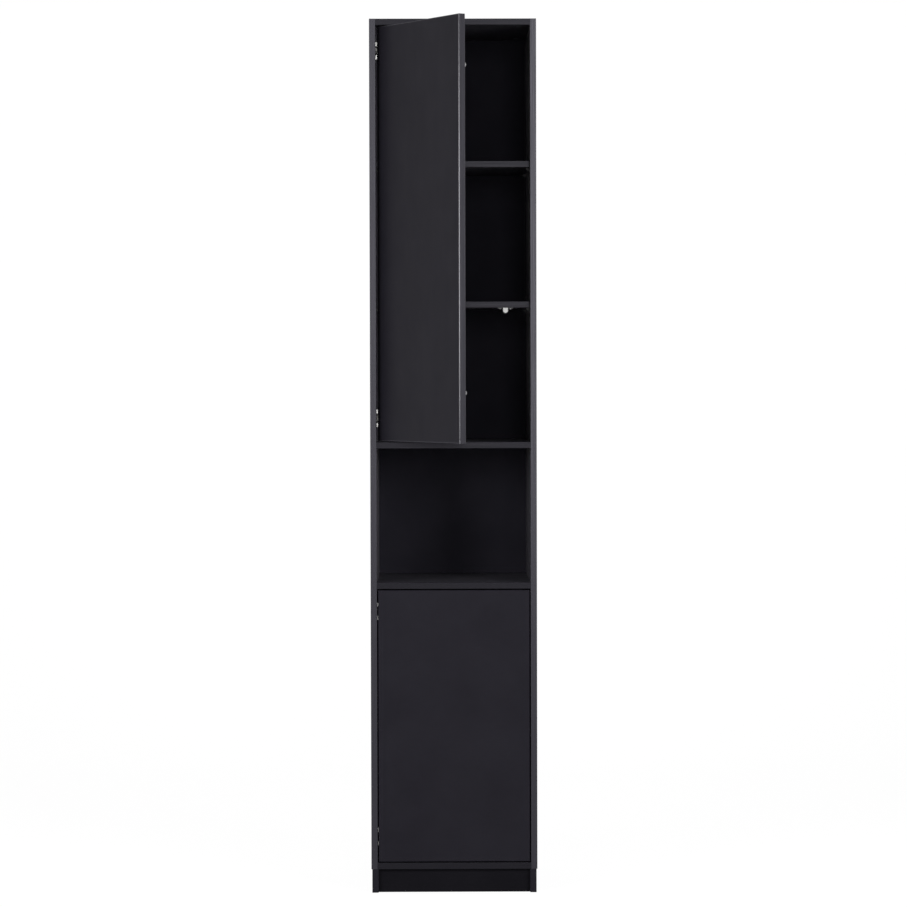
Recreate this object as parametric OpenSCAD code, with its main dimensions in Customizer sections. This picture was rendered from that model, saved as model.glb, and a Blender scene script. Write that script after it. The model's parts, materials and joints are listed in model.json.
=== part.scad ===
// Tall handleless cupboard with an upper door, an open niche and a lower door, on a separate plinth.
// X is the width, Y points to the wall, Z is up. The origin is on the floor, at the middle of the
// rear plane, so the cupboard's front plane lies at Y = -cabinet_d.

/* [Carcass] */
// Overall width
cabinet_w = 400; // [340:1:600]
// Overall height with the plinth
cabinet_h = 2100; // [1700:1:2400]
// Overall depth
cabinet_d = 400; // [300:1:600]
// Thickness of the side, top, niche and bottom panels
panel_t = 15; // [15:1:22]
// Thickness of the shelves
shelf_t = 15; // [14:1:22]
// Thickness of the strips on the front edges of the panels and shelves
edging_t = 1; // [0.8:0.1:2]
// Radius of those strips' rounded edges
strip_edge_r = 0.7; // [0.3:0.1:0.8]
// Thickness of the back panel
back_t = 3; // [3:0.5:6]
// Distance from the rear plane to the back panel
back_setback = 10; // [6:1:20]
// Depth of the grooves that hold the back panel
groove_depth = 6; // [4:0.5:7]
// Distance from the front plane to the shelves' front edges
shelf_setback = 38; // [36:1:60]

/* [Plinth] */
// Height of the plinth
plinth_h = 57; // [50:1:150]
// Thickness of the plinth boards
plinth_t = 15; // [12:1:19]
// Distance that the plinth stays inside the cupboard's sides and front
plinth_inset = 2; // [0:0.5:5]
// Distance from the front edges of the plinth's sides to the kick board
kick_setback = 10; // [4:1:16]

/* [Doors] */
// Thickness of the doors
door_t = 18; // [17:0.5:22]
// Gap round each door
door_gap = 3; // [2.8:0.1:4]
// Thickness of the strips on the doors' edges
door_edging_t = 2; // [1.5:0.1:2.5]
// Radius of the doors' rounded edges
door_edge_r = 1.8; // [0.5:0.1:2.4]
// Angle at which the upper door stands open
upper_door_angle = 57.8; // [0:0.1:100]

/* [Hinges] */
// Distance from a door's ends to the middle of its hinges
hinge_end = 54; // [45:1:150]
// Wood left between a door's edge and the hinge cup
cup_tab = 5; // [4.5:0.1:6]
// Depth of the hinge cups
cup_depth = 11.9; // [11.8:0.1:12.6]
// Distance from the door's inner face to the screws of the mounting plates
plate_line = 37; // [36:1:45]
// Thickness of the mounting plates' wings
wing_t = 3; // [2:0.5:4]

/* [Push latches] */
// Distance from the right side panel to the middle of the latches
latch_side = 59; // [40:1:120]
// Width of the latches' bodies
latch_w = 14; // [13:0.5:20]
// Length of the latches' bodies
latch_l = 50; // [40:1:70]
// Width of the latches' tips
tip_w = 11.5; // [9:0.5:12.5]
// Length of the latches' tips
tip_l = 8; // [5:0.5:10]
// Distance that a latch's tip can be pushed in
latch_travel = 3; // [2:0.5:4]

/* [Fittings] */
// Radius of the cam discs in the panels
cam_r = 7.5; // [6:0.5:7.5]
// Distance from a panel's end to the middle of its cam discs
cam_reach = 24; // [20:1:34]
// Distance from the front and rear edges to the nearest panel fitting
fitting_edge = 50; // [48:1:60]
// Distance between a cam bolt and its dowel
dowel_pitch = 32; // [24:1:64]
// Radius of the dowels
dowel_r = 4; // [3:0.5:4]
// Length of the dowels
dowel_l = 30; // [25:1:40]
// Radius of the shelf pins' stems
pin_r = 2.5; // [1.5:0.5:3]
// Distance from a shelf's front and rear edges to its pins
pin_edge = 45; // [30:1:90]
// Distance from a door's ends to its buffers
buffer_end = 117; // [90:1:160]
// Radius of the doors' buffers
buffer_r = 5; // [3:0.5:6]
// Height of the doors' buffers
buffer_h = 5; // [2:0.5:6]
// Distance from the left side panel to the middle of the wall bracket
bracket_side = 125; // [60:1:170]

/* [Hidden] */
$fn = 48;

board_black = [0.11, 0.11, 0.13];
edge_black = [0.24, 0.24, 0.26];
nickel = [0.72, 0.72, 0.74];
steel = [0.55, 0.56, 0.58];
zinc = [0.62, 0.63, 0.65];
beech = [0.78, 0.62, 0.42];
black_plastic = [0.08, 0.08, 0.09];
soft_grey = [0.62, 0.62, 0.63];
white_plastic = [0.93, 0.93, 0.92];

// A tiny overlap for cuts, so that they pass through a face
cut = 0.1;

// Levels, from the floor up
inner_w = cabinet_w - 2 * panel_t;
bay_h = (cabinet_h - plinth_h - 4 * panel_t - 3 * shelf_t) / 6;
bottom_z = plinth_h;
lower_room_z = bottom_z + panel_t;
shelf_lower_z = lower_room_z + bay_h;
niche_floor_z = shelf_lower_z + shelf_t + bay_h;
niche_z = niche_floor_z + panel_t;
niche_top_z = niche_z + bay_h;
upper_room_z = niche_top_z + panel_t;
shelf_middle_z = upper_room_z + bay_h;
shelf_upper_z = shelf_middle_z + shelf_t + bay_h;
top_z = cabinet_h - panel_t;

// Places along the depth
front_y = -cabinet_d;
back_front_y = -back_setback - back_t;
shelf_front_y = front_y + shelf_setback;
shelf_back_gap = 1;
shelf_end_gap = 1;
shelf_back_y = back_front_y - shelf_back_gap;
groove_fit = 0.2;
back_edge_gap = 0.5;
front_fitting_y = front_y + fitting_edge;
rear_fitting_y = back_front_y - fitting_edge;

// Fittings in the panels
cam_h = min(12.5, panel_t - 2.4);
cam_fit = 0.1;
cam_bolt_r = 2.5;
cam_bolt_depth = 11;
cam_neck_r = 2;
cam_head_r = 3;
cam_bore_r = 3.5;
dowel_depth = 10;
dowel_room = 1;
pin_depth = 8;
pin_seat_l = 8;
pin_seat_w = 9;
pin_seat_t = 2.5;

// Doors
door_w = inner_w - 2 * door_gap;
upper_door_z = upper_room_z + door_gap;
upper_door_h = top_z - upper_room_z - 2 * door_gap;
lower_door_z = lower_room_z + door_gap;
lower_door_h = niche_floor_z - lower_room_z - 2 * door_gap;
upper_hinge_zs = [upper_door_z + hinge_end, upper_door_z + upper_door_h - hinge_end];
lower_hinge_zs = [lower_door_z + hinge_end, lower_door_z + lower_door_h - hinge_end];

// Concealed hinge. Places in it are [u, v]: u from the side panel's inner face to the right, v from
// the front plane to the rear. The four pivots are given from the cup's middle and from the door's
// inner face, with the door closed. The outer link turns by 0.78 and the inner link by 0.228 of the
// door's angle, which keeps the inner link's free eye within 0.12 of its pin all the way to 100.
cup_r = 17.5;
cup_fit = 0.05;
cup_wall = 0.9;
cup_floor_t = 0.6;
flange_t = 1.2;
flange_r = 19;
cup_screw_pitch = 48;
cup_screw_offset = 6;
outer_link_share = 0.78;
inner_link_share = 0.228;
cup_middle = [door_gap + cup_tab + cup_r, door_t];
arm_pivot_outer = cup_middle + [0.6, -7.4];
arm_pivot_inner = cup_middle + [6.4, -8.8];
cup_pivot_outer = cup_middle + [-10.1, -8.8];
cup_pivot_inner = cup_middle + [-4.1, -7.4];
hinge_pin_r = 1;
running_fit = 0.05;
open_eye_fit = 0.2;
eye_r = 2.1;
// Layers of the hinge, as distances from its middle: inner link, arm cheeks and inner lugs,
// outer link's ears, and outer lugs
inner_link_half = 2.8;
cheek_near = 3;
cheek_far = 4.4;
ear_near = 4.7;
ear_far = 6.1;
lug_near = 6.4;
lug_far = 7.8;
// Course of the arm's neck, round the door's edge and back to the mounting plate
neck = [
    cup_middle + [11.1, -3.5], cup_middle + [14.1, 6], cup_middle + [11.5, 16],
    cup_middle + [2.5, 23], cup_middle + [-9.5, 26]
];
neck_r = [2.3, 2.3, 2.6, 3, 3.2];
arm_sheet = 1.4;

// Mounting plate and the arm's rear part
plate_v = door_t + plate_line;
wing_r = 7;
wing_near = 11;
plate_screw_pitch = 32;
rail_h = 8;
rail_half = 5.5;
rail_front = 14;
rail_rear = 25;
arm_half = 6.9;
arm_side_gap = 0.2;
arm_front = 11;
arm_rear = 24;
plate_screw_r = 2.5;
plate_screw_l = 11;
plate_screw_head_r = 4;
fixing_screw_v = plate_v + 14;
setting_screw_v = plate_v + 2;
arm_screw_r = 2;
arm_screw_head_r = 3.4;
arm_screw_head_h = 1.6;

// Latches
latch_x = inner_w / 2 - latch_side;
tip_gap = 0.4;
tip_y = front_y + door_t + tip_gap;
latch_body_y = tip_y + tip_l + latch_travel + tip_gap;
latch_flange_w = 36;
latch_flange_l = 24;
latch_flange_t = 2.4;
rod_r = 3.5;
rod_l = 30;
latch_body_h = max(tip_w + 2, latch_w + 0.5);
latch_screw_x = 12.5;
strike_r = 8;
strike_t = 0.3;

// General
small_screw_r = 1.75;
small_screw_l = 12;
small_head_r = 3.4;

function turned(p, a) = [p.x * cos(a) + p.y * sin(a), p.y * cos(a) - p.x * sin(a)];
function unit(p) = p / norm(p);
function outward(p) = [p.y, -p.x];
function cup_pivot_at(a) =
    arm_pivot_outer + turned(cup_pivot_outer - arm_pivot_outer, outer_link_share * a);

// Small shared shapes

module along_x(x, y, z) {
    translate([x, y, z]) rotate([0, 90, 0]) children();
}

module along_y(x, y, z) {
    translate([x, y, z]) rotate([-90, 0, 0]) children();
}

// A bar in the plane, with round ends of the two radii
module limb(p, q, rp, rq) {
    side = outward(unit(q - p));
    translate(p) circle(r = rp);
    translate(q) circle(r = rq);
    polygon([p + side * rp, q + side * rq, q - side * rq, p - side * rp]);
}

// Fills between the two distances, above and below a hinge's middle
module both_layers(near, far) {
    for (s = [0, 1])
        mirror([0, 0, s]) translate([0, 0, near]) linear_extrude(far - near) children();
}

module layer(half) {
    translate([0, 0, -half]) linear_extrude(2 * half) children();
}

// A cross-head screw that points down from its head's underside at the origin
module screw(r, l, head_r, head_h) {
    difference() {
        union() {
            translate([0, 0, -l]) cylinder(r = r, h = l);
            cylinder(r1 = head_r, r2 = head_r * 0.86, h = head_h);
        }
        for (a = [0, 90])
            rotate(a) translate([-head_r * 0.55, -0.4, head_h - 0.8]) cube([head_r * 1.1, 0.8, 1]);
    }
}

// An edge strip's section: its outer side lies on y = 0 and has two rounded corners
module strip_section(w, t, r) {
    intersection() {
        union() {
            translate([0, r]) square([w, t]);
            translate([r, 0]) square([w - 2 * r, t]);
            for (x = [r, w - r])
                translate([x, r]) circle(r = r);
        }
        square([w, t]);
    }
}

// Carcass

module at_fittings() {
    for (y = [[front_fitting_y, 1], [rear_fitting_y, -1]])
        translate([0, y[0], 0]) {
            children(0);
            translate([0, y[1] * dowel_pitch, 0]) children(1);
        }
}

module at_panel_levels() {
    for (z = [bottom_z, niche_floor_z, niche_top_z, top_z])
        translate([0, 0, z + panel_t / 2]) children();
}

module at_both_sides() {
    for (s = [0, 1])
        mirror([s, 0, 0]) children();
}

module at_shelf_pins() {
    for (z = [shelf_lower_z, shelf_middle_z, shelf_upper_z])
        for (y = [shelf_front_y + pin_edge, shelf_back_y - pin_edge])
            translate([-inner_w / 2, y, z]) children();
}

module side_panel() {
    difference() {
        translate([-cabinet_w / 2, front_y + edging_t, bottom_z])
            cube([panel_t, cabinet_d - edging_t, cabinet_h - bottom_z]);
        translate([-inner_w / 2 - groove_depth, back_front_y - groove_fit / 2, lower_room_z - groove_depth])
            cube([groove_depth + cut, back_t + groove_fit, top_z - lower_room_z + 2 * groove_depth]);
        at_panel_levels() at_fittings() {
            along_x(-inner_w / 2 - cam_bolt_depth, 0, 0) cylinder(r = cam_bolt_r, h = cam_bolt_depth + cut);
            along_x(-inner_w / 2 - dowel_depth, 0, 0) cylinder(r = dowel_r, h = dowel_depth + cut);
        }
        at_shelf_pins() along_x(-pin_depth, 0, -pin_r) cylinder(r = pin_r, h = pin_depth + cut);
    }
}

module side_panel_left() {
    color(board_black) difference() {
        side_panel();
        for (z = concat(upper_hinge_zs, lower_hinge_zs))
            for (s = [-1, 1])
                along_x(-inner_w / 2 - plate_screw_l, front_y + plate_v, z + s * plate_screw_pitch / 2)
                    cylinder(r = plate_screw_r, h = plate_screw_l + cut);
    }
}

module side_panel_right() {
    color(board_black) mirror([1, 0, 0]) side_panel();
}

// A panel between the sides, from its front edging to rear_y, with the bores for its fittings
module between_panel(z, rear_y) {
    difference() {
        translate([-inner_w / 2, front_y + edging_t, z])
            cube([inner_w, rear_y - front_y - edging_t, panel_t]);
        translate([0, 0, z + panel_t / 2]) at_both_sides() at_fittings() {
            union() {
                along_x(-inner_w / 2 - cut, 0, 0) cylinder(r = cam_bore_r, h = cam_reach + cut);
                translate([-inner_w / 2 + cam_reach, 0, -panel_t / 2 - cut])
                    cylinder(r = cam_r, h = cam_h + cam_fit + cut);
            }
            along_x(-inner_w / 2 - cut, 0, 0)
                cylinder(r = dowel_r, h = dowel_l - dowel_depth + dowel_room + cut);
        }
    }
}

// The groove for the back panel in the top and bottom panels, opening at the level z
module back_groove(z) {
    translate([-inner_w / 2 - cut, back_front_y - groove_fit / 2, z - groove_depth])
        cube([inner_w + 2 * cut, back_t + groove_fit, 2 * groove_depth]);
}

module top_panel() {
    color(board_black) difference() {
        between_panel(top_z, 0);
        back_groove(top_z);
        for (x = bracket_screw_xs)
            translate([x, bracket_screw_y, top_z - cut]) cylinder(r = small_screw_r, h = small_screw_l + cut);
    }
}

module niche_top_panel() {
    color(board_black) between_panel(niche_top_z, back_front_y);
}

module niche_floor_panel() {
    color(board_black) between_panel(niche_floor_z, back_front_y);
}

module bottom_panel() {
    color(board_black) difference() {
        between_panel(bottom_z, 0);
        back_groove(lower_room_z);
        at_plinth_corners() translate([0, 0, bottom_z - cut]) cylinder(r = plinth_screw_r, h = plinth_screw_bite + cut);
    }
}

module back_panel() {
    side = groove_depth - back_edge_gap;
    color(board_black) difference() {
        translate([-inner_w / 2 - side, back_front_y, lower_room_z - side])
            cube([inner_w + 2 * side, back_t, top_z - lower_room_z + 2 * side]);
        along_y(bracket_x, back_front_y - cut, bracket_hole_z) cylinder(r = bracket_hole_r, h = back_t + 2 * cut);
    }
}

module side_edging() {
    color(edge_black) at_both_sides() translate([-cabinet_w / 2, front_y, bottom_z])
        linear_extrude(cabinet_h - bottom_z) strip_section(panel_t, edging_t, strip_edge_r);
}

module panel_edging() {
    color(edge_black) for (z = [bottom_z, niche_floor_z, niche_top_z, top_z])
        translate([inner_w / 2, front_y, z]) rotate([0, -90, 0])
            linear_extrude(inner_w) strip_section(panel_t, edging_t, strip_edge_r);
}

module shelf(z) {
    difference() {
        translate([-inner_w / 2 + shelf_end_gap, shelf_front_y + edging_t, z])
            cube([inner_w - 2 * shelf_end_gap, shelf_back_y - shelf_front_y - edging_t, shelf_t]);
        for (s = [-1, 1])
            translate([latch_x + s * latch_screw_x, latch_screw_y, z - cut])
                cylinder(r = small_screw_r, h = small_screw_l + cut - latch_flange_t);
    }
}

module shelf_upper() {
    color(board_black)
        translate([-inner_w / 2 + shelf_end_gap, shelf_front_y + edging_t, shelf_upper_z])
            cube([inner_w - 2 * shelf_end_gap, shelf_back_y - shelf_front_y - edging_t, shelf_t]);
}

module shelf_middle() {
    color(board_black) shelf(shelf_middle_z);
}

module shelf_lower() {
    color(board_black) shelf(shelf_lower_z);
}

module shelf_edging() {
    l = inner_w - 2 * shelf_end_gap;
    color(edge_black) for (z = [shelf_lower_z, shelf_middle_z, shelf_upper_z])
        translate([l / 2, shelf_front_y, z]) rotate([0, -90, 0])
            linear_extrude(l) strip_section(shelf_t, edging_t, strip_edge_r);
}

// A pin's stem sits in the side panel and its flat seat carries the shelf
module shelf_pin() {
    along_x(-pin_depth, 0, -pin_r) cylinder(r = pin_r, h = pin_depth);
    translate([0, -pin_seat_w / 2, -pin_seat_t]) cube([pin_seat_l, pin_seat_w, pin_seat_t]);
    rotate([90, 0, 0]) translate([0, 0, -1])
        linear_extrude(2) polygon([[0, 0], [pin_seat_l - 1, -pin_seat_t], [0, -pin_seat_w]]);
}

module shelf_pins() {
    color(black_plastic) at_both_sides() at_shelf_pins() shelf_pin();
}

module cam_disc() {
    difference() {
        translate([0, 0, -panel_t / 2]) cylinder(r = cam_r, h = cam_h);
        along_x(-cam_r - cut, 0, 0) cylinder(r = cam_bore_r, h = cam_r + cam_head_r + cut);
        for (a = [0, 90])
            rotate(a + 45) translate([-4, -0.7, -panel_t / 2 - cut]) cube([8, 1.4, 1.6]);
    }
}

module cam_discs() {
    color(zinc) at_panel_levels() at_both_sides() at_fittings() {
        translate([-inner_w / 2 + cam_reach, 0, 0]) cam_disc();
        union() {}
    }
}

module cam_bolts() {
    color(zinc) at_panel_levels() at_both_sides() at_fittings() {
        along_x(-inner_w / 2 - cam_bolt_depth, 0, 0) rotate_extrude() polygon([
            [0, 0], [cam_bolt_r, 0], [cam_bolt_r, cam_bolt_depth], [cam_head_r, cam_bolt_depth],
            [cam_head_r, cam_bolt_depth + 2], [cam_neck_r, cam_bolt_depth + 3],
            [cam_neck_r, cam_bolt_depth + cam_reach - 3], [cam_head_r, cam_bolt_depth + cam_reach - 2],
            [cam_head_r, cam_bolt_depth + cam_reach], [0, cam_bolt_depth + cam_reach]
        ]);
        union() {}
    }
}

module dowels() {
    color(beech) at_panel_levels() at_both_sides() at_fittings() {
        union() {}
        along_x(-inner_w / 2 - dowel_depth, 0, 0) rotate_extrude() polygon([
            [0, 0], [dowel_r - 1, 0], [dowel_r, 1], [dowel_r, dowel_l - 1], [dowel_r - 1, dowel_l], [0, dowel_l]
        ]);
    }
}

// Plinth

plinth_side_w = cabinet_w / 2 - plinth_inset;
plinth_front_y = front_y + plinth_inset;
kick_y = plinth_front_y + kick_setback;
block_size = 36;
block_full_h = 40;
block_floor_gap = 8;
block_h = min(block_full_h, plinth_h - block_floor_gap);
plinth_screw_r = 2;
plinth_screw_bite = 10;
block_x = plinth_side_w - plinth_t;
block_front_y = kick_y + plinth_t;
block_rear_y = -plinth_t;

module plinth_side() {
    translate([-plinth_side_w, plinth_front_y, 0])
        cube([plinth_t, -plinth_front_y, plinth_h]);
}

module plinth_side_left() {
    color(board_black) plinth_side();
}

module plinth_side_right() {
    color(board_black) mirror([1, 0, 0]) plinth_side();
}

module plinth_kickboard() {
    color(board_black) translate([-block_x, kick_y, 0]) cube([2 * block_x, plinth_t, plinth_h]);
}

module plinth_back_board() {
    color(board_black) translate([-block_x, -plinth_t, 0]) cube([2 * block_x, plinth_t, plinth_h]);
}

// The middles of the plinth's corner screws
module at_plinth_corners() {
    at_both_sides() for (y = [block_front_y + block_size / 4, block_rear_y - block_size / 4])
        translate([-block_x + block_size / 3, y, 0]) children();
}

module corner_block() {
    linear_extrude(block_h) polygon([[0, 0], [block_size, 0], [0, block_size]]);
}

module plinth_corner_blocks() {
    color(beech) difference() {
        at_both_sides() translate([-block_x, 0, plinth_h - block_h]) {
            translate([0, block_front_y, 0]) corner_block();
            translate([0, block_rear_y, 0]) mirror([0, 1, 0]) corner_block();
        }
        at_plinth_corners() translate([0, 0, plinth_h - block_h - cut]) cylinder(r = plinth_screw_r, h = block_h + 2 * cut);
    }
}

module plinth_screws() {
    color(steel) at_plinth_corners() translate([0, 0, plinth_h - block_h]) mirror([0, 0, 1])
        screw(plinth_screw_r, block_h + plinth_screw_bite, 4, 2);
}

// Wall bracket: an angle under the top panel, screwed to it, with a hole for the wall screw

bracket_w = 40;
bracket_t = 2;
bracket_leg = 30;
bracket_x = -inner_w / 2 + bracket_side;
bracket_hole_r = 3.5;
bracket_hole_z = top_z - bracket_leg * 0.6;
bracket_screw_xs = [bracket_x - 13, bracket_x + 13];
bracket_screw_y = back_front_y - bracket_leg * 0.6;

module wall_bracket() {
    color(zinc) difference() {
        union() {
            translate([bracket_x - bracket_w / 2, back_front_y - bracket_leg, top_z - bracket_t])
                cube([bracket_w, bracket_leg, bracket_t]);
            translate([bracket_x - bracket_w / 2, back_front_y - bracket_t, top_z - bracket_leg])
                cube([bracket_w, bracket_t, bracket_leg]);
        }
        along_y(bracket_x, back_front_y - bracket_t - cut, bracket_hole_z)
            cylinder(r = bracket_hole_r, h = bracket_t + 2 * cut);
        for (x = bracket_screw_xs)
            translate([x, bracket_screw_y, top_z - bracket_t - cut])
                cylinder(r = small_screw_r, h = bracket_t + 2 * cut);
    }
}

module wall_bracket_screws() {
    color(zinc) for (x = bracket_screw_xs)
        translate([x, bracket_screw_y, top_z - bracket_t]) mirror([0, 0, 1])
            screw(small_screw_r, small_screw_l + bracket_t - 0.5, small_head_r, 1.4);
}

// Hinges

module at_hinges(zs) {
    for (z = zs)
        translate([-inner_w / 2, front_y, z]) children();
}

// Carries what is drawn on a closed door, in [u, v] and height, to where it is at the angle
module on_door(a) {
    p = cup_pivot_at(a);
    translate([-inner_w / 2, front_y, 0]) translate([p.x, p.y, 0]) rotate(-a)
        translate([-cup_pivot_outer.x, -cup_pivot_outer.y, 0]) children();
}

// A mounting plate's wing with two rounded corners
module wing_shape() {
    r = 3;
    l = plate_screw_pitch / 2 + wing_r - wing_near;
    translate([-wing_r, 0]) square([2 * wing_r, l - r]);
    translate([-wing_r + r, 0]) square([2 * (wing_r - r), l]);
    for (x = [r - wing_r, wing_r - r])
        translate([x, l - r]) circle(r = r);
}

module hinge_plates(zs) {
    color(nickel) at_hinges(zs) difference() {
        union() {
            for (s = [0, 1])
                mirror([0, 0, s]) translate([0, plate_v, wing_near]) rotate([90, 0, 90])
                    linear_extrude(wing_t) wing_shape();
            layer(wing_near + 1) polygon([
                [0, plate_v - wing_r - 1], [wing_t, plate_v - wing_r + 3],
                [wing_t, plate_v + wing_r - 3], [0, plate_v + wing_r + 1]
            ]);
            layer(rail_half) polygon([
                [0, plate_v - rail_front - 3], [rail_h, plate_v - rail_front + 4],
                [rail_h, plate_v + rail_rear - 3], [rail_h - 3, plate_v + rail_rear],
                [0, plate_v + rail_rear]
            ]);
        }
        for (s = [-1, 1])
            along_x(-cut, plate_v, s * plate_screw_pitch / 2) cylinder(r = plate_screw_r, h = wing_t + 2 * cut);
        along_x(-cut, fixing_screw_v, 0) cylinder(r = arm_screw_r, h = rail_h + 2 * cut);
    }
}

module plate_screws(zs) {
    color(steel) at_hinges(zs) for (s = [-1, 1])
        along_x(wing_t, plate_v, s * plate_screw_pitch / 2)
            screw(plate_screw_r, plate_screw_l - 0.5 + wing_t, plate_screw_head_r, 1.8);
}

// The neck's middle line as [u, v, radius], smoothed through the pivots and the points of its course
neck_points = concat(
    [[arm_pivot_outer.x, arm_pivot_outer.y, eye_r], [arm_pivot_inner.x, arm_pivot_inner.y, eye_r]],
    [for (i = [0:len(neck) - 1]) [neck[i].x, neck[i].y, neck_r[i]]]
);
neck_steps = 5;
neck_line = concat(
    [for (i = [1:len(neck_points) - 2]) for (k = [0:neck_steps - 1])
        smooth(neck_points[i - 1], neck_points[i], neck_points[i + 1],
            neck_points[min(i + 2, len(neck_points) - 1)], k / neck_steps)],
    [neck_points[len(neck_points) - 1]]
);
// The neck's wall begins this many steps after the second pivot
wall_from = 3;

function smooth(a, b, c, d, t) =
    0.5 * (2 * b + (c - a) * t + (2 * a - 5 * b + 4 * c - d) * t * t + (3 * b - a - 3 * c + d) * t * t * t);
function flat(p) = [p.x, p.y];
function line_side(i) =
    unit(outward(unit(flat(neck_line[min(i + 1, len(neck_line) - 1)]) - flat(neck_line[max(i - 1, 0)]))));
// A point beside the neck's middle line: by its radius times the share, and further by the extra
function beside(i, share, extra) = flat(neck_line[i]) + line_side(i) * (neck_line[i][2] * share + extra);

module neck_outline() {
    n = len(neck_line);
    limb(arm_pivot_outer, arm_pivot_inner, eye_r, eye_r);
    polygon(concat([for (i = [0:n - 1]) beside(i, 1, 0)], [for (i = [n - 1:-1:0]) beside(i, -1, 0)]));
}

// The room between the cheeks, which leaves the neck's outer wall
module neck_slot() {
    n = len(neck_line);
    limb(arm_pivot_outer, arm_pivot_inner, eye_r + 0.5, eye_r + 0.5);
    polygon(concat(
        [for (i = [0:wall_from]) beside(i, 1, 1)], [for (i = [wall_from:n - 1]) beside(i, 1, -arm_sheet)],
        [for (i = [n - 1:-1:0]) beside(i, -1, -1)]
    ));
}

module arm() {
    rear_front = plate_v - arm_front;
    rear_end = plate_v + arm_rear;
    root = neck[len(neck) - 1];
    difference() {
        union() {
            difference() {
                layer(cheek_far) neck_outline();
                layer(cheek_near) neck_slot();
            }
            // Shoulder that spreads from the neck to the rear channel, and the channel's back
            layer(arm_half) polygon([
                [rail_h, rear_front - 4], [root.x - 2.5, root.y - 2.5], [root.x + 2.5, root.y + 1],
                [root.x - 1.5, root.y + 5], [rail_h + arm_sheet, rear_front + 9],
                [rail_h + arm_sheet, rear_end], [rail_h, rear_end]
            ]);
            both_layers(rail_half + arm_side_gap, arm_half) polygon([
                [wing_t + arm_side_gap, rear_front + 1], [rail_h + 0.3, rear_front + 1],
                [rail_h + 0.3, rear_end - 0.5], [wing_t + arm_side_gap, rear_end - 4]
            ]);
        }
        for (p = [arm_pivot_outer, arm_pivot_inner])
            translate([p.x, p.y, -arm_half]) cylinder(r = hinge_pin_r, h = 2 * arm_half);
        for (v = [fixing_screw_v, setting_screw_v])
            along_x(rail_h - cut, v, 0) cylinder(r = arm_screw_r, h = arm_sheet + 2 * cut);
    }
}

module hinge_arms(zs) {
    color(nickel) at_hinges(zs) arm();
}

// The rear screw clamps the arm to the rail, and the front one sets the door sideways
module arm_screws(zs) {
    color(steel) at_hinges(zs) {
        along_x(rail_h + arm_sheet, fixing_screw_v, 0)
            screw(arm_screw_r, rail_h + arm_sheet - 0.5, arm_screw_head_r, arm_screw_head_h);
        along_x(rail_h + arm_sheet, setting_screw_v, 0)
            screw(arm_screw_r, arm_sheet, arm_screw_head_r, arm_screw_head_h);
    }
}

// Riveted pins of the arm: a stud on each cheek for the outer link and one pin for the inner link
module arm_pins(zs) {
    color(steel) at_hinges(zs) {
        translate([arm_pivot_inner.x, arm_pivot_inner.y, -cheek_far]) cylinder(r = hinge_pin_r, h = 2 * cheek_far);
        for (s = [0, 1])
            mirror([0, 0, s]) translate([arm_pivot_outer.x, arm_pivot_outer.y, cheek_near]) {
                cylinder(r = hinge_pin_r, h = ear_far - cheek_near + 0.1);
                translate([0, 0, ear_far - cheek_near + 0.1]) cylinder(r = eye_r * 0.8, h = 0.4);
            }
    }
}

module outer_link() {
    difference() {
        union() {
            both_layers(ear_near, ear_far) limb(arm_pivot_outer, cup_pivot_outer, eye_r, eye_r);
            layer(ear_far) translate(cup_pivot_outer) circle(r = eye_r);
        }
        for (p = [arm_pivot_outer, cup_pivot_outer])
            translate([p.x, p.y, -ear_far - cut]) cylinder(r = hinge_pin_r + running_fit, h = 2 * (ear_far + cut));
    }
}

module inner_link() {
    difference() {
        layer(inner_link_half) limb(arm_pivot_inner, cup_pivot_inner, eye_r, eye_r);
        translate([arm_pivot_inner.x, arm_pivot_inner.y, -inner_link_half - cut])
            cylinder(r = hinge_pin_r + running_fit, h = 2 * (inner_link_half + cut));
        translate([cup_pivot_inner.x, cup_pivot_inner.y, -inner_link_half - cut])
            cylinder(r = hinge_pin_r + open_eye_fit, h = 2 * (inner_link_half + cut));
    }
}

module turn_about(p, a) {
    translate([p.x, p.y, 0]) rotate(-a) translate([-p.x, -p.y, 0]) children();
}

module outer_links(zs, a) {
    color(nickel) at_hinges(zs) turn_about(arm_pivot_outer, outer_link_share * a) outer_link();
}

module inner_links(zs, a) {
    color(nickel) at_hinges(zs) turn_about(arm_pivot_inner, inner_link_share * a) inner_link();
}

// A lug that stands on the cup's floor and holds a pin
module lug(p, near, far) {
    floor_v = door_t - cup_depth;
    both_layers(near, far) difference() {
        union() {
            translate(p) circle(r = eye_r);
            translate([p.x - eye_r, floor_v + cup_floor_t / 2]) square([2 * eye_r, p.y - floor_v - cup_floor_t / 2]);
        }
        translate(p) circle(r = hinge_pin_r);
    }
}

module hinge_cup() {
    inner_r = cup_r - cup_fit - cup_wall;
    along_y(cup_middle.x, door_t, 0) rotate_extrude($fn = 96) polygon([
        [0, -cup_depth], [cup_r - cup_fit, -cup_depth], [cup_r - cup_fit, 0], [flange_r, 0],
        [flange_r, flange_t], [inner_r, flange_t], [inner_r, cup_floor_t - cup_depth], [0, cup_floor_t - cup_depth]
    ]);
    difference() {
        along_y(cup_middle.x, door_t, 0) linear_extrude(flange_t) difference() {
            limb([cup_screw_offset, -cup_screw_pitch / 2], [cup_screw_offset, cup_screw_pitch / 2], 6.5, 6.5);
            circle(r = inner_r + cup_wall / 2);
            for (s = [-1, 1])
                translate([cup_screw_offset, s * cup_screw_pitch / 2]) circle(r = small_screw_r);
        }
    }
    lug(cup_pivot_outer, lug_near, lug_far);
    lug(cup_pivot_inner, cheek_near, cheek_far);
}

module hinge_cups(zs, a) {
    color(nickel) on_door(a) for (z = zs)
        translate([0, 0, z]) hinge_cup();
}

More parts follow.
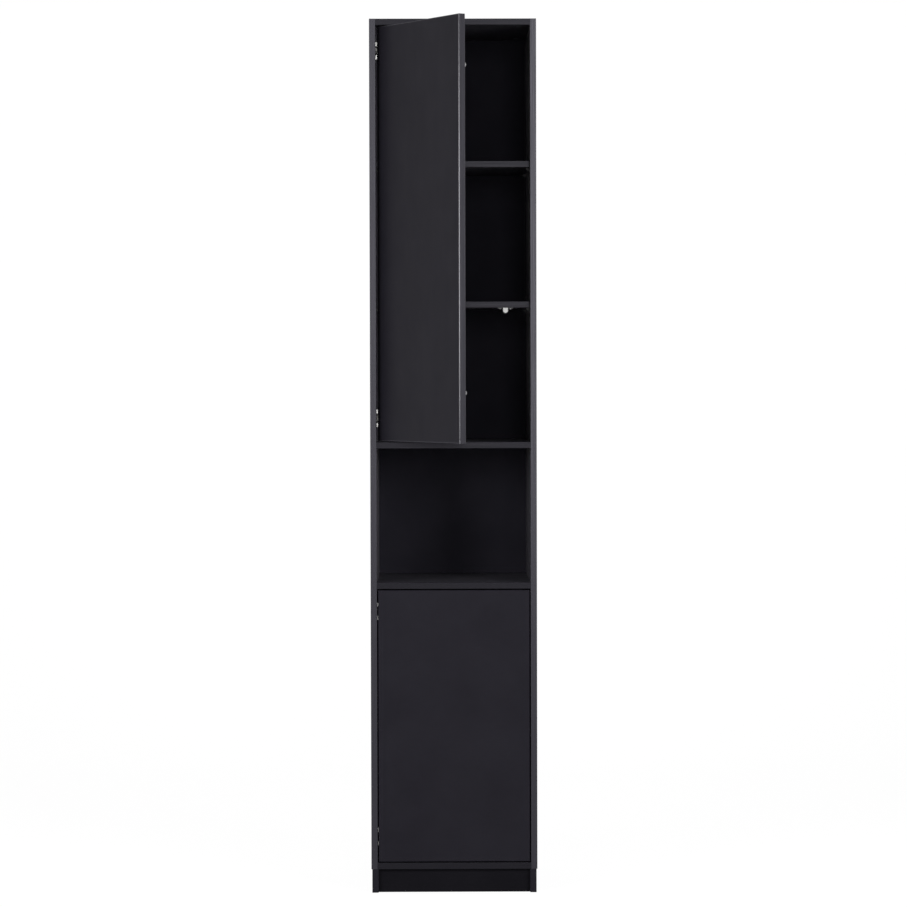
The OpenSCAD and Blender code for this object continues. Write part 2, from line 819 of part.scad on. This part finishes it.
module cup_pins(zs, a) {
    color(steel) on_door(a) for (z = zs) {
        translate([cup_pivot_outer.x, cup_pivot_outer.y, z - lug_far]) cylinder(r = hinge_pin_r, h = 2 * lug_far);
        translate([cup_pivot_inner.x, cup_pivot_inner.y, z - cheek_far]) cylinder(r = hinge_pin_r, h = 2 * cheek_far);
    }
}

module cup_screws(zs, a) {
    color(steel) on_door(a) for (z = zs)
        for (s = [-1, 1])
            along_y(cup_middle.x + cup_screw_offset, door_t + flange_t, z + s * cup_screw_pitch / 2)
                screw(small_screw_r, small_screw_l + flange_t, small_head_r, 1.2);
}

// Doors, drawn closed in [u, v] and height

strike_u = inner_w / 2 + latch_x;

module door(z, h, zs, strike_z) {
    t = door_edging_t;
    color(board_black) difference() {
        translate([door_gap + t, 0, z + t]) cube([door_w - 2 * t, door_t, h - 2 * t]);
        for (hz = zs) {
            along_y(cup_middle.x, door_t - cup_depth, hz) cylinder(r = cup_r, h = cup_depth + cut, $fn = 96);
            for (s = [-1, 1])
                along_y(cup_middle.x + cup_screw_offset, door_t - small_screw_l, hz + s * cup_screw_pitch / 2)
                    cylinder(r = small_screw_r, h = small_screw_l + cut);
        }
    }
}

// Four strips round the door: the upright ones run past the level ones
module door_edging(z, h) {
    t = door_edging_t;
    r = min(door_edge_r, t - 0.1);
    color(edge_black) {
        for (s = [0, 1])
            translate([s == 0 ? door_gap : door_gap + door_w, 0, z]) mirror([s, 0, 0])
                linear_extrude(h) translate([0, door_t]) rotate(-90) strip_section(door_t, t, r);
        for (s = [0, 1])
            translate([door_gap + t, 0, s == 0 ? z : z + h]) mirror([0, 0, s]) rotate([90, 0, 90])
                linear_extrude(door_w - 2 * t) strip_section(door_t, t, r);
    }
}

module door_buffers(z, h) {
    color(soft_grey) for (bz = [z + buffer_end, z + h - buffer_end])
        along_y(door_gap + door_w - buffer_r - 1, door_t, bz) rotate_extrude() intersection() {
            square([buffer_r, buffer_h]);
            translate([0, buffer_h - buffer_r * 1.4]) circle(r = buffer_r * 1.4);
        }
}

module strike_plate(z) {
    color(zinc) along_y(strike_u, door_t, z) cylinder(r = strike_r, h = strike_t);
}

// Push latches, drawn against the underside of a shelf at the level z

latch_screw_y = latch_body_y + latch_flange_l / 2;

// A section with a flat top on y = 0 and a round bottom
module latch_section(w, h) {
    translate([-w / 2, -(h - w / 2)]) square([w, h - w / 2]);
    translate([0, -(h - w / 2)]) circle(r = w / 2);
}

module latch_body(z) {
    rod_z = z - latch_body_h + latch_w / 2;
    color(black_plastic) difference() {
        union() {
            translate([latch_x, latch_body_y + latch_l, z]) rotate([90, 0, 0])
                linear_extrude(latch_l) latch_section(latch_w, latch_body_h);
            translate([latch_x - latch_flange_w / 2, latch_body_y, z - latch_flange_t])
                cube([latch_flange_w, latch_flange_l, latch_flange_t]);
        }
        along_y(latch_x, latch_body_y - cut, rod_z)
            cylinder(r = rod_r + running_fit, h = rod_l + latch_travel + tip_gap + cut);
        for (s = [-1, 1])
            translate([latch_x + s * latch_screw_x, latch_screw_y, z - latch_flange_t - cut])
                cylinder(r = small_screw_r, h = latch_flange_t + 2 * cut);
    }
}

module latch_plunger(z) {
    rod_z = z - latch_body_h + latch_w / 2;
    tip_drop = 0.6;
    color(white_plastic) {
        translate([latch_x, tip_y + tip_l, z - tip_drop]) rotate([90, 0, 0])
            linear_extrude(tip_l) latch_section(tip_w, tip_w + 0.5);
        along_y(latch_x, tip_y + tip_l - 1, rod_z) cylinder(r = rod_r, h = rod_l + 1);
    }
}

module latch_screws(z) {
    color(steel) for (s = [-1, 1])
        translate([latch_x + s * latch_screw_x, latch_screw_y, z - latch_flange_t]) mirror([0, 0, 1])
            screw(small_screw_r, small_screw_l - 0.5, small_head_r, 1.2);
}

// Upper door's hinges, door and latch

module upper_hinge_plates() { hinge_plates(upper_hinge_zs); }
module upper_plate_screws() { plate_screws(upper_hinge_zs); }
module upper_hinge_arms() { hinge_arms(upper_hinge_zs); }
module upper_arm_screws() { arm_screws(upper_hinge_zs); }
module upper_arm_pins() { arm_pins(upper_hinge_zs); }
module upper_outer_links() { outer_links(upper_hinge_zs, upper_door_angle); }
module upper_inner_links() { inner_links(upper_hinge_zs, upper_door_angle); }
module upper_cup_pins() { cup_pins(upper_hinge_zs, upper_door_angle); }
module upper_hinge_cups() { hinge_cups(upper_hinge_zs, upper_door_angle); }
module upper_cup_screws() { cup_screws(upper_hinge_zs, upper_door_angle); }
module upper_door() { on_door(upper_door_angle) door(upper_door_z, upper_door_h, upper_hinge_zs); }
module upper_door_edging() { on_door(upper_door_angle) door_edging(upper_door_z, upper_door_h); }
module upper_door_buffers() { on_door(upper_door_angle) door_buffers(upper_door_z, upper_door_h); }
module upper_strike_plate() { on_door(upper_door_angle) strike_plate(shelf_middle_z - latch_body_h / 2); }
module upper_latch_body() { latch_body(shelf_middle_z); }
module upper_latch_plunger() { latch_plunger(shelf_middle_z); }
module upper_latch_screws() { latch_screws(shelf_middle_z); }

// Lower door's hinges, door and latch

module lower_hinge_plates() { hinge_plates(lower_hinge_zs); }
module lower_plate_screws() { plate_screws(lower_hinge_zs); }
module lower_hinge_arms() { hinge_arms(lower_hinge_zs); }
module lower_arm_screws() { arm_screws(lower_hinge_zs); }
module lower_arm_pins() { arm_pins(lower_hinge_zs); }
module lower_outer_links() { outer_links(lower_hinge_zs, 0); }
module lower_inner_links() { inner_links(lower_hinge_zs, 0); }
module lower_cup_pins() { cup_pins(lower_hinge_zs, 0); }
module lower_hinge_cups() { hinge_cups(lower_hinge_zs, 0); }
module lower_cup_screws() { cup_screws(lower_hinge_zs, 0); }
module lower_door() { on_door(0) door(lower_door_z, lower_door_h, lower_hinge_zs); }
module lower_door_edging() { on_door(0) door_edging(lower_door_z, lower_door_h); }
module lower_door_buffers() { on_door(0) door_buffers(lower_door_z, lower_door_h); }
module lower_strike_plate() { on_door(0) strike_plate(shelf_lower_z - latch_body_h / 2); }
module lower_latch_body() { latch_body(shelf_lower_z); }
module lower_latch_plunger() { latch_plunger(shelf_lower_z); }
module lower_latch_screws() { latch_screws(shelf_lower_z); }

side_panel_left();
side_panel_right();
top_panel();
niche_top_panel();
niche_floor_panel();
bottom_panel();
back_panel();
side_edging();
panel_edging();
shelf_upper();
shelf_middle();
shelf_lower();
shelf_edging();
shelf_pins();
cam_discs();
cam_bolts();
dowels();
plinth_side_left();
plinth_side_right();
plinth_kickboard();
plinth_back_board();
plinth_corner_blocks();
plinth_screws();
wall_bracket();
wall_bracket_screws();
upper_hinge_plates();
upper_plate_screws();
upper_hinge_arms();
upper_arm_screws();
upper_arm_pins();
upper_outer_links();
upper_inner_links();
upper_cup_pins();
upper_hinge_cups();
upper_cup_screws();
upper_door();
upper_door_edging();
upper_door_buffers();
upper_strike_plate();
upper_latch_body();
upper_latch_plunger();
upper_latch_screws();
lower_hinge_plates();
lower_plate_screws();
lower_hinge_arms();
lower_arm_screws();
lower_arm_pins();
lower_outer_links();
lower_inner_links();
lower_cup_pins();
lower_hinge_cups();
lower_cup_screws();
lower_door();
lower_door_edging();
lower_door_buffers();
lower_strike_plate();
lower_latch_body();
lower_latch_plunger();
lower_latch_screws();
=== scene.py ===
import json
import math

import bpy
from mathutils import Matrix, Vector

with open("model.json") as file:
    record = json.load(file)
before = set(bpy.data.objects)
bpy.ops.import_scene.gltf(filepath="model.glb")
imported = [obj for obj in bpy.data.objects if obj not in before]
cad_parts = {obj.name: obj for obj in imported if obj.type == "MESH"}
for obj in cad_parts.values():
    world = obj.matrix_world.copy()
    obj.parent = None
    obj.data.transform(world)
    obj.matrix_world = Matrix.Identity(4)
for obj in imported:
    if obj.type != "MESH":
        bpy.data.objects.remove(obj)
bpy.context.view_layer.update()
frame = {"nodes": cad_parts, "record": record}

scene = bpy.context.scene
nodes = frame["nodes"]
slots = {s["node"]: s["material_slot"] for s in frame["record"]["subparts"]}

# Pieces whose tone in the photo differs from the rest of their slot in the record
slots.update({
    "side_panel_left": "side_board",
    "side_panel_right": "side_board",
    # The plinth sides stand forward and take the door colour; the darker plinth colour is painted
    # shade, kept on the recessed kick board
    "plinth_side_left": "front_board",
    "plinth_side_right": "front_board",
    # The lower door's strip: the door strip made darker and duller, so its edges show no highlight;
    # the darker colour is painted shade
    "lower_door_edging": "flush_edging",
})


# Node helpers. `at` is a node's place in the shader editor and doesn't change the look.

NOISE_SPAN = (0.3, 0.7)     # nearly all values of a noise texture lie between these


def empty_tree(owner):
    """The node tree of a new material or world, without nodes."""
    owner.use_nodes = True
    owner.node_tree.nodes.clear()
    return owner.node_tree


def node(tree, kind, at, **values):
    new = tree.nodes.new(kind)
    new.location = at
    for key, value in values.items():
        setattr(new, key, value)
    return new


def fill(target, values):
    for key, value in values.items():
        target.inputs[key].default_value = value


def computed(tree, at, operation, *values):
    new = node(tree, "ShaderNodeMath", at, operation=operation)
    for value, socket in zip(values, new.inputs):
        tree.links.new(value, socket)
    return new.outputs[0]


def ranged(tree, at, value, start, end, low, high):
    """A value mapped from start...end to low...high, and held at these beyond."""
    new = node(tree, "ShaderNodeMapRange", at)
    fill(new, {"From Min": start, "From Max": end, "To Min": low, "To Max": high})
    tree.links.new(value, new.inputs["Value"])
    return new.outputs["Result"]


def noise(tree, at, coords, scale, detail, roughness=0.5, stretch=(1, 1, 1)):
    """Noise with about `scale` spots per metre, drawn out along axes whose stretch is below 1."""
    place = node(tree, "ShaderNodeMapping", (at[0] - 200, at[1]))
    fill(place, {"Scale": stretch})
    tree.links.new(coords, place.inputs["Vector"])
    new = node(tree, "ShaderNodeTexNoise", at)
    fill(new, {"Scale": scale, "Detail": detail, "Roughness": roughness})
    tree.links.new(place.outputs["Vector"], new.inputs["Vector"])
    return new.outputs["Fac"]


def shading(tree, at, kind, values):
    new = node(tree, kind, at)
    fill(new, values)
    return new.outputs[0]


def blend(tree, at, factor, first, second):
    """The first shader where the factor is 0, and the second where it is 1."""
    new = node(tree, "ShaderNodeMixShader", at)
    if isinstance(factor, float):
        fill(new, {"Fac": factor})
    else:
        tree.links.new(factor, new.inputs["Fac"])
    tree.links.new(first, new.inputs[1])
    tree.links.new(second, new.inputs[2])
    return new.outputs[0]


# Materials. Their textures use the object's own coordinates, so they move with it.

def start_material(name):
    material = bpy.data.materials.new(name)
    tree = empty_tree(material)
    out = node(tree, "ShaderNodeOutputMaterial", (900, 0))
    shader = node(tree, "ShaderNodeBsdfPrincipled", (600, 0))
    tree.links.new(shader.outputs["BSDF"], out.inputs["Surface"])
    coords = node(tree, "ShaderNodeTexCoord", (-900, 0)).outputs["Object"]
    return material, tree, shader, coords


def colour(tree, shader, value, tones):
    """Base colour that goes from the dark to the light tone with a noise."""
    dark, light = tones
    mix = node(tree, "ShaderNodeMix", (200, 300), data_type="RGBA")
    fill(mix, {"A": (*dark, 1), "B": (*light, 1)})
    tree.links.new(ranged(tree, (-200, 300), value, *NOISE_SPAN, 0, 1), mix.inputs["Factor"])
    tree.links.new(mix.outputs["Result"], shader.inputs["Base Color"])


def uneven(tree, value, rough, below, above):
    """Roughness that strays from `rough` with a noise, by at most `below` and `above`."""
    return ranged(tree, (200, 0), value, *NOISE_SPAN, rough - below, rough + above)


def relief(tree, shader, height, strength, depth):
    """Bumps of at most `depth` metres."""
    bump = node(tree, "ShaderNodeBump", (200, -300))
    fill(bump, {"Strength": strength, "Distance": depth})
    tree.links.new(height, bump.inputs["Height"])
    tree.links.new(bump.outputs["Normal"], shader.inputs["Normal"])


def board(name, tones, rough, specular, sheen):
    """Matt melamine: faint clouds, a fine pearl texture and slightly uneven gloss."""
    material, tree, shader, coords = start_material(name)
    clouds = noise(tree, (-500, 300), coords, scale=9, detail=3)
    pearl = noise(tree, (-500, 0), coords, scale=900, detail=4, roughness=0.6)
    rub = noise(tree, (-500, -300), coords, scale=26, detail=5, roughness=0.65,
                stretch=(1, 1, 0.35))
    colour(tree, shader, clouds, tones)
    roughness = uneven(tree, rub, rough, below=0.04, above=0.05)
    tree.links.new(roughness, shader.inputs["Roughness"])
    fill(shader, {"Specular IOR Level": specular, "Sheen Weight": sheen, "Sheen Roughness": 0.4})
    relief(tree, shader, pearl, strength=0.12, depth=0.0002)
    return material


def strip(name, tones, rough, specular, stretch, rubbed=False):
    """Extruded plastic edge strip: satin, with faint drawing marks along its length."""
    material, tree, shader, coords = start_material(name)
    clouds = noise(tree, (-500, 300), coords, scale=14, detail=3)
    marks = noise(tree, (-500, 0), coords, scale=350, detail=3, stretch=stretch)
    colour(tree, shader, clouds, tones)
    roughness = uneven(tree, marks, rough, below=0.04, above=0.05)
    if rubbed:
        roughness = rubbed_strip(tree, shader, roughness)
    tree.links.new(roughness, shader.inputs["Roughness"])
    fill(shader, {"Specular IOR Level": specular, "Specular Tint": (0.9, 0.88, 1.0, 1)})
    relief(tree, shader, marks, strength=0.08, depth=0.0001)
    return material


def rubbed_strip(tree, shader, roughness):
    """The upright rounding that faces the front while the upper door stands as drawn has been
    rubbed bright by hands, and the strip's top and bottom are duller. Returns the roughness."""
    facing = node(tree, "ShaderNodeSeparateXYZ", (-200, 600))
    normal = node(tree, "ShaderNodeTexCoord", (-500, 600)).outputs["Normal"]
    tree.links.new(normal, facing.inputs["Vector"])
    rubbed = ranged(tree, (200, 600), facing.outputs["Y"], start=-0.95, end=-0.88, low=1, high=0)
    tree.links.new(rubbed, shader.inputs["Coat Weight"])
    fill(shader, {"Coat Roughness": 0.15, "Coat IOR": 1.6})
    slope = computed(tree, (0, 900), "ABSOLUTE", facing.outputs["Z"])
    duller = ranged(tree, (200, 900), slope, start=0.03, end=0.4, low=0, high=0.7)
    return computed(tree, (400, 0), "ADD", roughness, duller)


def metal(name, tones, rough, strength):
    """Plated or cast metal: uneven tone, fine marks and a soft sheen."""
    material, tree, shader, coords = start_material(name)
    clouds = noise(tree, (-500, 300), coords, scale=120, detail=4)
    marks = noise(tree, (-500, 0), coords, scale=700, detail=5, roughness=0.6,
                  stretch=(1, 1, 0.2))
    colour(tree, shader, clouds, tones)
    roughness = uneven(tree, marks, rough, below=0.06, above=0.08)
    tree.links.new(roughness, shader.inputs["Roughness"])
    fill(shader, {"Metallic": 1})
    relief(tree, shader, marks, strength, depth=0.0001)
    return material


def plastic(name, tones, rough):
    """Moulded plastic with a fine eroded surface."""
    material, tree, shader, coords = start_material(name)
    clouds = noise(tree, (-500, 300), coords, scale=60, detail=3)
    spark = noise(tree, (-500, 0), coords, scale=1600, detail=3)
    colour(tree, shader, clouds, tones)
    roughness = uneven(tree, spark, rough, below=0.05, above=0.05)
    tree.links.new(roughness, shader.inputs["Roughness"])
    relief(tree, shader, spark, strength=0.15, depth=0.0001)
    return material


def wood(name, tones, rough):
    """Plain beech: long grain with short dark flecks."""
    material, tree, shader, coords = start_material(name)
    grain = noise(tree, (-500, 300), coords, scale=160, detail=6, roughness=0.6,
                  stretch=(0.08, 1, 1))
    flecks = noise(tree, (-500, 0), coords, scale=1400, detail=2, stretch=(0.15, 1, 1))
    colour(tree, shader, grain, tones)
    roughness = uneven(tree, flecks, rough, below=0.05, above=0.1)
    tree.links.new(roughness, shader.inputs["Roughness"])
    relief(tree, shader, grain, strength=0.2, depth=0.0002)
    return material


# The darkest and the lightest tone of a surface, as linear red, green and blue
DOOR = ((0.013, 0.0119, 0.0168), (0.0159, 0.0148, 0.0204))
# Carcass: the same melamine as the doors, made lighter as painted light on its inner faces, which
# are seen at a grazing angle
PANEL_PAINTED_LIGHT = ((0.034, 0.0322, 0.0415), (0.041, 0.039, 0.0495))
# Plinth: the same black melamine, darkened as painted shade of the kick board's recess under the
# carcass
PLINTH_PAINTED_SHADE = ((0.0078, 0.0073, 0.0096), (0.0096, 0.009, 0.0118))
BACK = ((0.0245, 0.0232, 0.0312), (0.0306, 0.029, 0.0385))
LEVEL_STRIP = ((0.0045, 0.004, 0.0062), (0.0055, 0.005, 0.0074))
# Upright strips: the same strip as the level ones, made lighter as painted light from the side
# lamps on their rounded edges
UPRIGHT_STRIP_PAINTED_LIGHT = ((0.0075, 0.0068, 0.01), (0.0092, 0.0085, 0.012))
DOOR_STRIP = ((0.0155, 0.0147, 0.0192), (0.0188, 0.018, 0.0232))
NICKEL = ((0.46, 0.455, 0.445), (0.57, 0.565, 0.55))
STEEL = ((0.48, 0.48, 0.48), (0.6, 0.6, 0.6))
ZINC = ((0.36, 0.37, 0.39), (0.47, 0.48, 0.5))
BEECH = ((0.5, 0.32, 0.16), (0.66, 0.47, 0.28))
BLACK_PLASTIC = ((0.011, 0.011, 0.012), (0.016, 0.016, 0.017))
GREY_RUBBER = ((0.26, 0.26, 0.27), (0.31, 0.31, 0.32))
WHITE_PLASTIC = ((0.74, 0.74, 0.72), (0.82, 0.82, 0.8))

ALONG_X = (0.02, 1, 1)
ALONG_Z = (1, 1, 0.02)

recipes = {
    "front_board": (board, dict(tones=DOOR, rough=0.46, specular=0.062, sheen=0.02)),
    # board and side_board: their lighter colour is painted light on the carcass's inner faces
    "board": (board, dict(tones=PANEL_PAINTED_LIGHT, rough=0.34, specular=0.12, sheen=0.004)),
    "side_board": (board, dict(tones=PANEL_PAINTED_LIGHT, rough=0.34, specular=0.12, sheen=0.06)),
    # plinth_board: its darker colour is painted shade of the recess under the carcass
    "plinth_board": (board, dict(tones=PLINTH_PAINTED_SHADE, rough=0.5, specular=0.02, sheen=0.0)),
    "back_board": (board, dict(tones=BACK, rough=0.6, specular=0.015, sheen=0.0)),
    "edging": (strip, dict(tones=LEVEL_STRIP, rough=0.27, specular=0.165, stretch=ALONG_X)),
    # side_edging: its lighter colour is painted light from the side lamps
    "side_edging": (strip, dict(tones=UPRIGHT_STRIP_PAINTED_LIGHT, rough=0.27, specular=0.415,
                                stretch=ALONG_Z)),
    # The lower door's strip: a darker copy of the door strip, painted shade in place of the
    # highlight on its edges
    "flush_edging": (strip, dict(tones=DOOR, rough=0.46, specular=0.062, stretch=ALONG_Z)),
    "door_edging": (strip, dict(tones=DOOR_STRIP, rough=0.2, specular=0.4, stretch=ALONG_Z,
                                rubbed=True)),
    "nickel": (metal, dict(tones=NICKEL, rough=0.32, strength=0.1)),
    "steel": (metal, dict(tones=STEEL, rough=0.34, strength=0.12)),
    "zinc": (metal, dict(tones=ZINC, rough=0.45, strength=0.25)),
    "beech": (wood, dict(tones=BEECH, rough=0.6)),
    "black_plastic": (plastic, dict(tones=BLACK_PLASTIC, rough=0.42)),
    "grey_rubber": (plastic, dict(tones=GREY_RUBBER, rough=0.6)),
    "white_plastic": (plastic, dict(tones=WHITE_PLASTIC, rough=0.4)),
}
materials = {name: make(name, **values) for name, (make, values) in recipes.items()}

for name, obj in nodes.items():
    obj.data.materials.clear()
    obj.data.materials.append(materials[slots[name]])
    for face in obj.data.polygons:
        face.material_index = 0


# Studio

def seen_white(tree, at):
    """1 for rays of the camera, of gloss and of glass, which all see the plain white background."""
    path = node(tree, "ShaderNodeLightPath", at)
    factor = path.outputs["Is Camera Ray"]
    for k, kind in enumerate(("Is Glossy Ray", "Is Transmission Ray"), start=1):
        factor = computed(tree, (at[0] + 200 * k, at[1]), "MAXIMUM", factor, path.outputs[kind])
    return factor


def studio_material():
    """White sheet: plain white behind the object, with the object's soft shadow, and see-through
    from the back, so that views from behind aren't covered."""
    material = bpy.data.materials.new("studio")
    tree = empty_tree(material)
    out = node(tree, "ShaderNodeOutputMaterial", (900, 0))
    bounce = shading(tree, (0, 200), "ShaderNodeBsdfDiffuse", {"Color": (0.78, 0.78, 0.78, 1)})
    shadowed = shading(tree, (0, 0), "ShaderNodeBsdfDiffuse", {"Color": (0.9, 0.9, 0.9, 1)})
    glow = shading(tree, (0, -200), "ShaderNodeEmission", {"Strength": 1.09})
    glow_share = 0.88
    seen = blend(tree, (300, -100), glow_share, shadowed, glow)
    front = blend(tree, (600, 0), seen_white(tree, (-300, 500)), bounce, seen)
    behind = node(tree, "ShaderNodeNewGeometry", (300, 300)).outputs["Backfacing"]
    clear = shading(tree, (600, -200), "ShaderNodeBsdfTransparent", {})
    tree.links.new(blend(tree, (750, 0), behind, front, clear), out.inputs["Surface"])
    return material


def sweep():
    """Floor and backdrop in one curved sheet, in metres."""
    half_width, front, back, top, bend, steps = 24.0, -24.0, 3.0, 5.0, 1.2, 12
    angles = [math.pi / 2 * k / steps for k in range(1, steps + 1)]
    profile = [(front, 0.0), (back - bend, 0.0)]
    profile += [(back - bend + bend * math.sin(t), bend - bend * math.cos(t)) for t in angles]
    profile.append((back, top))
    verts = [(x, y, z) for y, z in profile for x in (-half_width, half_width)]
    faces = [(2 * i, 2 * i + 1, 2 * i + 3, 2 * i + 2) for i in range(len(profile) - 1)]
    mesh = bpy.data.meshes.new("sweep")
    mesh.from_pydata(verts, [], faces)
    mesh.polygons.foreach_set("use_smooth", [True] * len(mesh.polygons))
    obj = bpy.data.objects.new("sweep", mesh)
    scene.collection.objects.link(obj)
    obj.data.materials.append(studio_material())


def softbox(name, place, target, size, watts):
    """Flat lamp that stands at `place` and shines at `target`; lengths in metres."""
    lamp = bpy.data.lights.new(name, "AREA")
    lamp.shape = "RECTANGLE"
    lamp.size, lamp.size_y = size
    lamp.energy = watts
    obj = bpy.data.objects.new(name, lamp)
    obj.location = place
    obj.rotation_euler = (Vector(target) - Vector(place)).to_track_quat("-Z", "Y").to_euler()
    scene.collection.objects.link(obj)


sweep()
softbox("right", place=(2.222, -2.998, 1.698), target=(0, -0.35, 1.15),
        size=(1.6, 1.1), watts=58)
softbox("left", place=(-2.222, -2.998, 1.698), target=(0, -0.35, 1.15),
        size=(1.6, 1.1), watts=55)
softbox("front", place=(0.7, -9.8, 2.2), target=(0, -0.4, 1.4),
        size=(2.0, 3.0), watts=106)
softbox("top", place=(0, 0.4, 4.2), target=(0, -0.1, 2.1),
        size=(1.2, 1.2), watts=14)

WHITE = (1, 1, 1, 1)
FILL_STRENGTH = 0.08        # what the world adds to the lamps
SEEN_STRENGTH = 0.97        # what it shows as a background and in gloss

scene.world = bpy.data.worlds.new("studio")
tree = empty_tree(scene.world)
filling = shading(tree, (0, 200), "ShaderNodeBackground",
                  {"Color": WHITE, "Strength": FILL_STRENGTH})
backdrop = shading(tree, (0, 0), "ShaderNodeBackground",
                   {"Color": WHITE, "Strength": SEEN_STRENGTH})
around = blend(tree, (300, 0), seen_white(tree, (-600, 500)), filling, backdrop)
tree.links.new(around, node(tree, "ShaderNodeOutputWorld", (600, 0)).inputs["Surface"])

scene.view_settings.view_transform = "Standard"


# Camera: it stands 7.88 m in front of the cupboard and looks slightly down

PHOTO_WIDTH = 907           # pixels
FOCAL_LENGTH = 3282.4       # pixels
SENSOR_WIDTH = 36           # mm
PLACE = (-0.055, -8.28, 1.268)
TURN, TILT, ROLL = -0.4, 1.522, -0.136      # degrees: to the left, down, and about its own axis

camera = bpy.data.cameras.new("camera")
camera.sensor_width = SENSOR_WIDTH
camera.lens = FOCAL_LENGTH / PHOTO_WIDTH * SENSOR_WIDTH
camera_object = bpy.data.objects.new("camera", camera)
scene.collection.objects.link(camera_object)
camera_object.matrix_world = (Matrix.Translation(PLACE)
                              @ Matrix.Rotation(math.radians(TURN), 4, "Z")
                              @ Matrix.Rotation(math.radians(90 - TILT), 4, "X")
                              @ Matrix.Rotation(math.radians(ROLL), 4, "Z"))
scene.camera = camera_object
